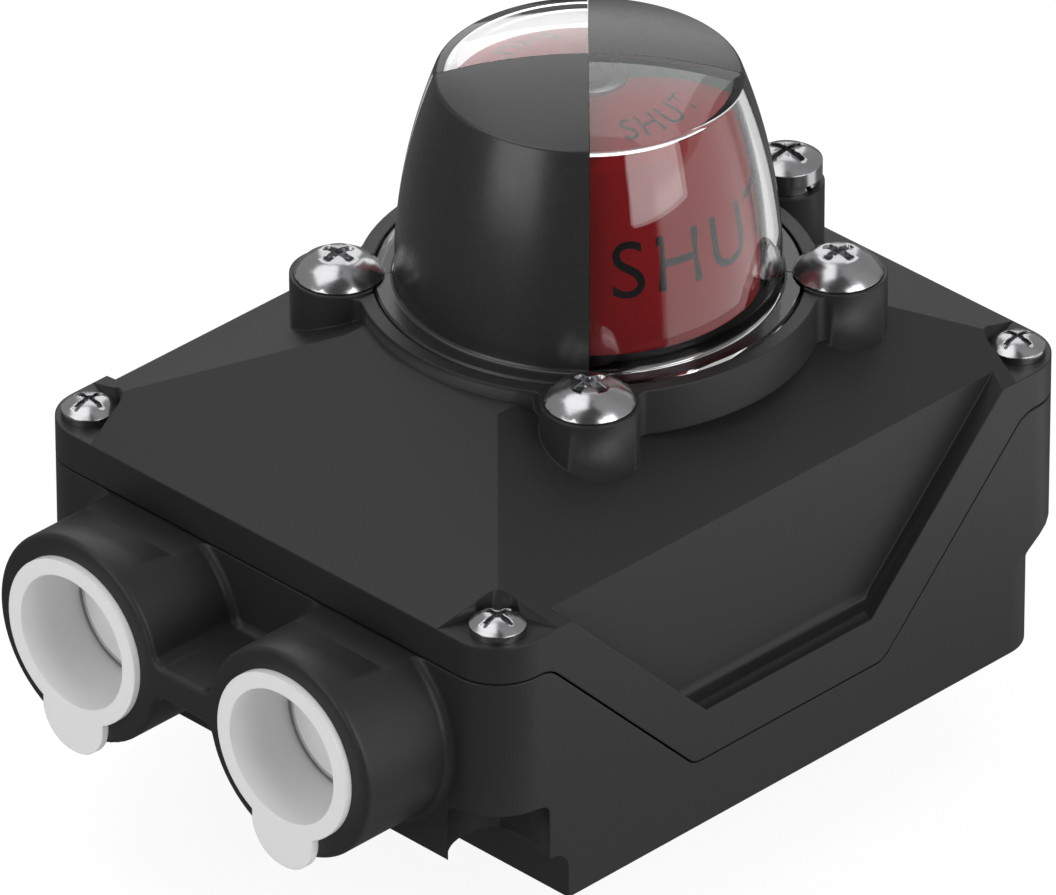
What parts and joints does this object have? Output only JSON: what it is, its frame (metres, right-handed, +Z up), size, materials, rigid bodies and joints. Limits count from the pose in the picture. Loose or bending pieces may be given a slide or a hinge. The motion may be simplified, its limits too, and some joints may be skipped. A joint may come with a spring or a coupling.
{
  "type": "valve limit switch box",
  "caption": "Valve limit switch box: rotary beacon under a quartered dome on a two-part housing with conduit entries, a shaft with cams that work switches inside.",
  "frame": {"origin": "on the shaft axis at the mounting face under the foot", "axes": "+Z up along the shaft towards the beacon, -Y towards the conduit entries, +X to the right of them"},
  "size_m": [0.089, 0.1273, 0.1061],
  "materials": {
    "housing": "matt black powder coat over cast aluminium",
    "dome_clear": "clear moulded polycarbonate",
    "dome_black": "black moulded polycarbonate, glossy",
    "drum_red": "red moulded plastic",
    "drum_green": "green moulded plastic",
    "screw_steel": "bright polished stainless steel",
    "shaft_steel": "turned stainless steel",
    "spring_steel": "drawn spring wire",
    "plated_steel": "zinc-plated sheet",
    "bronze": "sintered bronze",
    "rubber": "black nitrile rubber",
    "nylon_black": "black nylon",
    "nylon_white": "natural acetal",
    "plug_grey": "light grey polyethylene",
    "strip_grey": "light grey polyamide",
    "clamp_brass": "nickel-plated brass",
    "cam_red": "red acetal",
    "cam_green": "green acetal",
    "switch_case": "dark phenolic moulding",
    "insulator": "brown pressboard",
    "plunger_red": "red acetal"
  },
  "bodies": {
    "base": {"base_housing": "housing", "shaft_bush": "bronze", "shaft_seal": "rubber", "cover_gasket": "rubber", "terminal_block": "strip_grey", "terminal_screws": "screw_steel", "terminal_clamps": "clamp_brass", "terminal_block_screws": "screw_steel", "switch_bracket": "plated_steel", "bracket_screws": "screw_steel", "lower_switch_body": "switch_case", "upper_switch_body": "switch_case", "switch_insulator": "insulator", "switch_screws": "screw_steel", "lower_switch_terminals": "clamp_brass", "upper_switch_terminals": "clamp_brass", "lever_pins": "shaft_steel", "inner_earth_screw": "screw_steel", "inner_earth_washer": "clamp_brass"},
    "shaft": {"main_shaft": "shaft_steel", "cam_clip": "spring_steel", "cam_spring": "spring_steel"},
    "lower_cam": {"lower_cam": "cam_red"},
    "upper_cam": {"upper_cam": "cam_green"},
    "lower_lever": {"lower_lever": "plated_steel"},
    "upper_lever": {"upper_lever": "plated_steel"},
    "lower_plunger": {"lower_plunger": "plunger_red"},
    "upper_plunger": {"upper_plunger": "plunger_red"},
    "cover": {"cover_housing": "housing", "cover_screws": "screw_steel", "screw_retainers": "nylon_black", "dome_clear": "dome_clear", "dome_black": "dome_black", "dome_seal": "rubber", "beacon_screws": "screw_steel", "earth_screw": "screw_steel", "earth_spring_washer": "screw_steel", "cover_bush": "nylon_white"},
    "indicator": {"indicator_spindle": "nylon_black", "spindle_clip": "spring_steel", "indicator_drum_shut": "drum_red", "indicator_drum_open": "drum_green", "indicator_washer": "screw_steel", "indicator_screw": "screw_steel"},
    "left_plug": {"transit_plug_left": "plug_grey"},
    "right_plug": {"transit_plug_right": "plug_grey"}
  },
  "joints": [
    {"name": "shaft_turn", "type": "hinge", "parent": "base", "child": "shaft", "pos_m": [0, 0, 0.008], "axis": [0, 0, 1], "range_deg": [0, 90]},
    {"name": "cover_lift", "type": "slide", "parent": "base", "child": "cover", "axis": [0, 0, 1], "range_m": [0, 0.06]},
    {"name": "indicator_turn", "type": "hinge", "parent": "cover", "child": "indicator", "pos_m": [0, 0, 0.05], "axis": [0, 0, 1], "range_deg": [0, 90]},
    {"name": "lower_cam_slide", "type": "slide", "parent": "shaft", "child": "lower_cam", "axis": [0, 0, 1], "range_m": [0, 0.003], "stiffness_N_per_m": 700, "deforming": ["cam_spring"]},
    {"name": "upper_cam_slide", "type": "slide", "parent": "shaft", "child": "upper_cam", "axis": [0, 0, -1], "range_m": [0, 0.003], "stiffness_N_per_m": 700, "deforming": ["cam_spring"]},
    {"name": "lower_lever_turn", "type": "hinge", "parent": "base", "child": "lower_lever", "pos_m": [-0.017, 0.0172, 0.02], "axis": [0, 0, -1], "range_deg": [0, 5.49]},
    {"name": "upper_lever_turn", "type": "hinge", "parent": "base", "child": "upper_lever", "pos_m": [-0.017, 0.0172, 0.031], "axis": [0, 0, 1], "range_deg": [0, 5.49]},
    {"name": "lower_plunger_slide", "type": "slide", "parent": "base", "child": "lower_plunger", "axis": [0, -1, 0], "range_m": [0, 0.00086]},
    {"name": "upper_plunger_slide", "type": "slide", "parent": "base", "child": "upper_plunger", "axis": [0, 1, 0], "range_m": [0, 0.00086]},
    {"name": "left_plug_pull", "type": "slide", "parent": "base", "child": "left_plug", "axis": [0, -1, 0], "range_m": [0, 0.03]},
    {"name": "right_plug_pull", "type": "slide", "parent": "base", "child": "right_plug", "axis": [0, -1, 0], "range_m": [0, 0.03]}
  ],
  "couplings": [
    {"joint": "indicator_turn", "follows": "shaft_turn", "ratio": 1},
    {"joint": "lower_lever_turn", "follows": "shaft_turn", "ratio": 0.059917},
    {"joint": "upper_lever_turn", "follows": "shaft_turn", "ratio": 0.059917},
    {"joint": "lower_plunger_slide", "follows": "shaft_turn", "m_per_rad": 0.00053925},
    {"joint": "upper_plunger_slide", "follows": "shaft_turn", "m_per_rad": 0.00053925}
  ]
}
